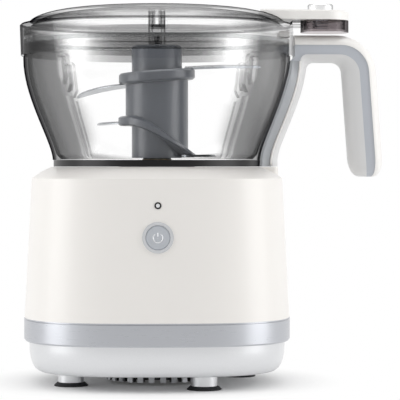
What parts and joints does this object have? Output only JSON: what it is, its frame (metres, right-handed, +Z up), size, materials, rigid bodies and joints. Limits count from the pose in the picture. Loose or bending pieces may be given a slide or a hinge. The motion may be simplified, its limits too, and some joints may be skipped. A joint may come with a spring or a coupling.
{
  "type": "baby food maker",
  "caption": "Countertop baby food maker: motor base with one front button, clear flared bowl with open handle, two-level blades and a domed lid with a button arm.",
  "frame": {"origin": "on the table, under the middle of the whole machine's bounding box", "axes": "+Z up, the front with the power button faces -Y, the handle is at +X"},
  "size_m": [0.2353, 0.1774, 0.2448],
  "materials": {
    "white_plastic": "satin moulded",
    "metallic_trim": "satin metallised",
    "satin_silver": "satin silver paint",
    "black_plastic": "fine matt",
    "black_rubber": "matt",
    "steel": "brushed",
    "copper_winding": "lacquered wire",
    "bronze": "sintered",
    "board": "solder mask",
    "light_grey_plastic": "satin",
    "blue_grey_plastic": "satin",
    "hub_plastic": "satin moulded",
    "clear_plastic": "clear polished",
    "smoky_plastic": "smoky polished",
    "silicone": "matt silicone",
    "button_plastic": "satin",
    "indicator": "frosted"
  },
  "bodies": {
    "base": {"housing": "white_plastic", "trim_band": "metallic_trim", "tray": "satin_silver", "vent_ring": "black_plastic", "foot_1": "black_rubber", "foot_2": "black_rubber", "foot_3": "black_rubber", "foot_4": "black_rubber", "drive_well": "light_grey_plastic", "motor_mount": "steel", "motor_can": "steel", "motor_bearing": "bronze", "motor_end_bell": "steel", "button_bezel": "steel", "control_board": "board", "light_pipe": "indicator", "led_ring": "black_plastic", "cord_inlet": "black_rubber"},
    "rotor": {"motor_shaft": "steel", "armature": "copper_winding", "cooling_fan": "black_plastic", "drive_dog": "black_plastic"},
    "power_button": {"power_button": "button_plastic"},
    "bowl": {"bowl": "clear_plastic", "bowl_ring": "black_plastic", "bowl_bush": "bronze", "spindle_seal": "black_rubber", "handle_saddle": "blue_grey_plastic", "handle_inner": "light_grey_plastic", "handle_middle": "blue_grey_plastic", "handle_outer": "white_plastic"},
    "blade_set": {"blade_spindle": "steel", "driven_dog": "black_plastic", "blade_hub": "hub_plastic", "blade_sleeve": "hub_plastic", "blade_1": "steel", "blade_2": "steel", "blade_3": "steel", "blade_4": "steel"},
    "lid": {"lid": "clear_plastic", "lid_gasket": "silicone", "lid_catch": "white_plastic", "arm_body": "smoky_plastic", "arm_cover": "white_plastic", "button_spring": "steel"},
    "lid_button": {"lid_button": "button_plastic"}
  },
  "joints": [
    {"name": "motor_spin", "type": "hinge", "parent": "base", "child": "rotor", "pos_m": [-0.02898, 0, 0.08], "axis": [0, 0, 1], "continuous": true},
    {"name": "power_press", "type": "slide", "parent": "base", "child": "power_button", "axis": [0, 0.9986, -0.052], "range_m": [0, 0.002], "stiffness_N_per_m": 400, "springref_m": -0.002},
    {"name": "bowl_lift", "type": "slide", "parent": "base", "child": "bowl", "axis": [0, 0, 1], "range_m": [0, 0.12]},
    {"name": "blade_spin", "type": "hinge", "parent": "bowl", "child": "blade_set", "pos_m": [-0.02898, 0, 0.17], "axis": [0, 0, 1], "continuous": true},
    {"name": "lid_lift", "type": "slide", "parent": "bowl", "child": "lid", "axis": [0, 0, 1], "range_m": [0, 0.09]},
    {"name": "lid_button_press", "type": "slide", "parent": "lid", "child": "lid_button", "axis": [0, 0, -1], "range_m": [0, 0.003], "stiffness_N_per_m": 400, "springref_m": -0.002, "deforming": ["button_spring"]}
  ],
  "couplings": [
    {"joint": "blade_spin", "follows": "motor_spin", "ratio": 1}
  ]
}
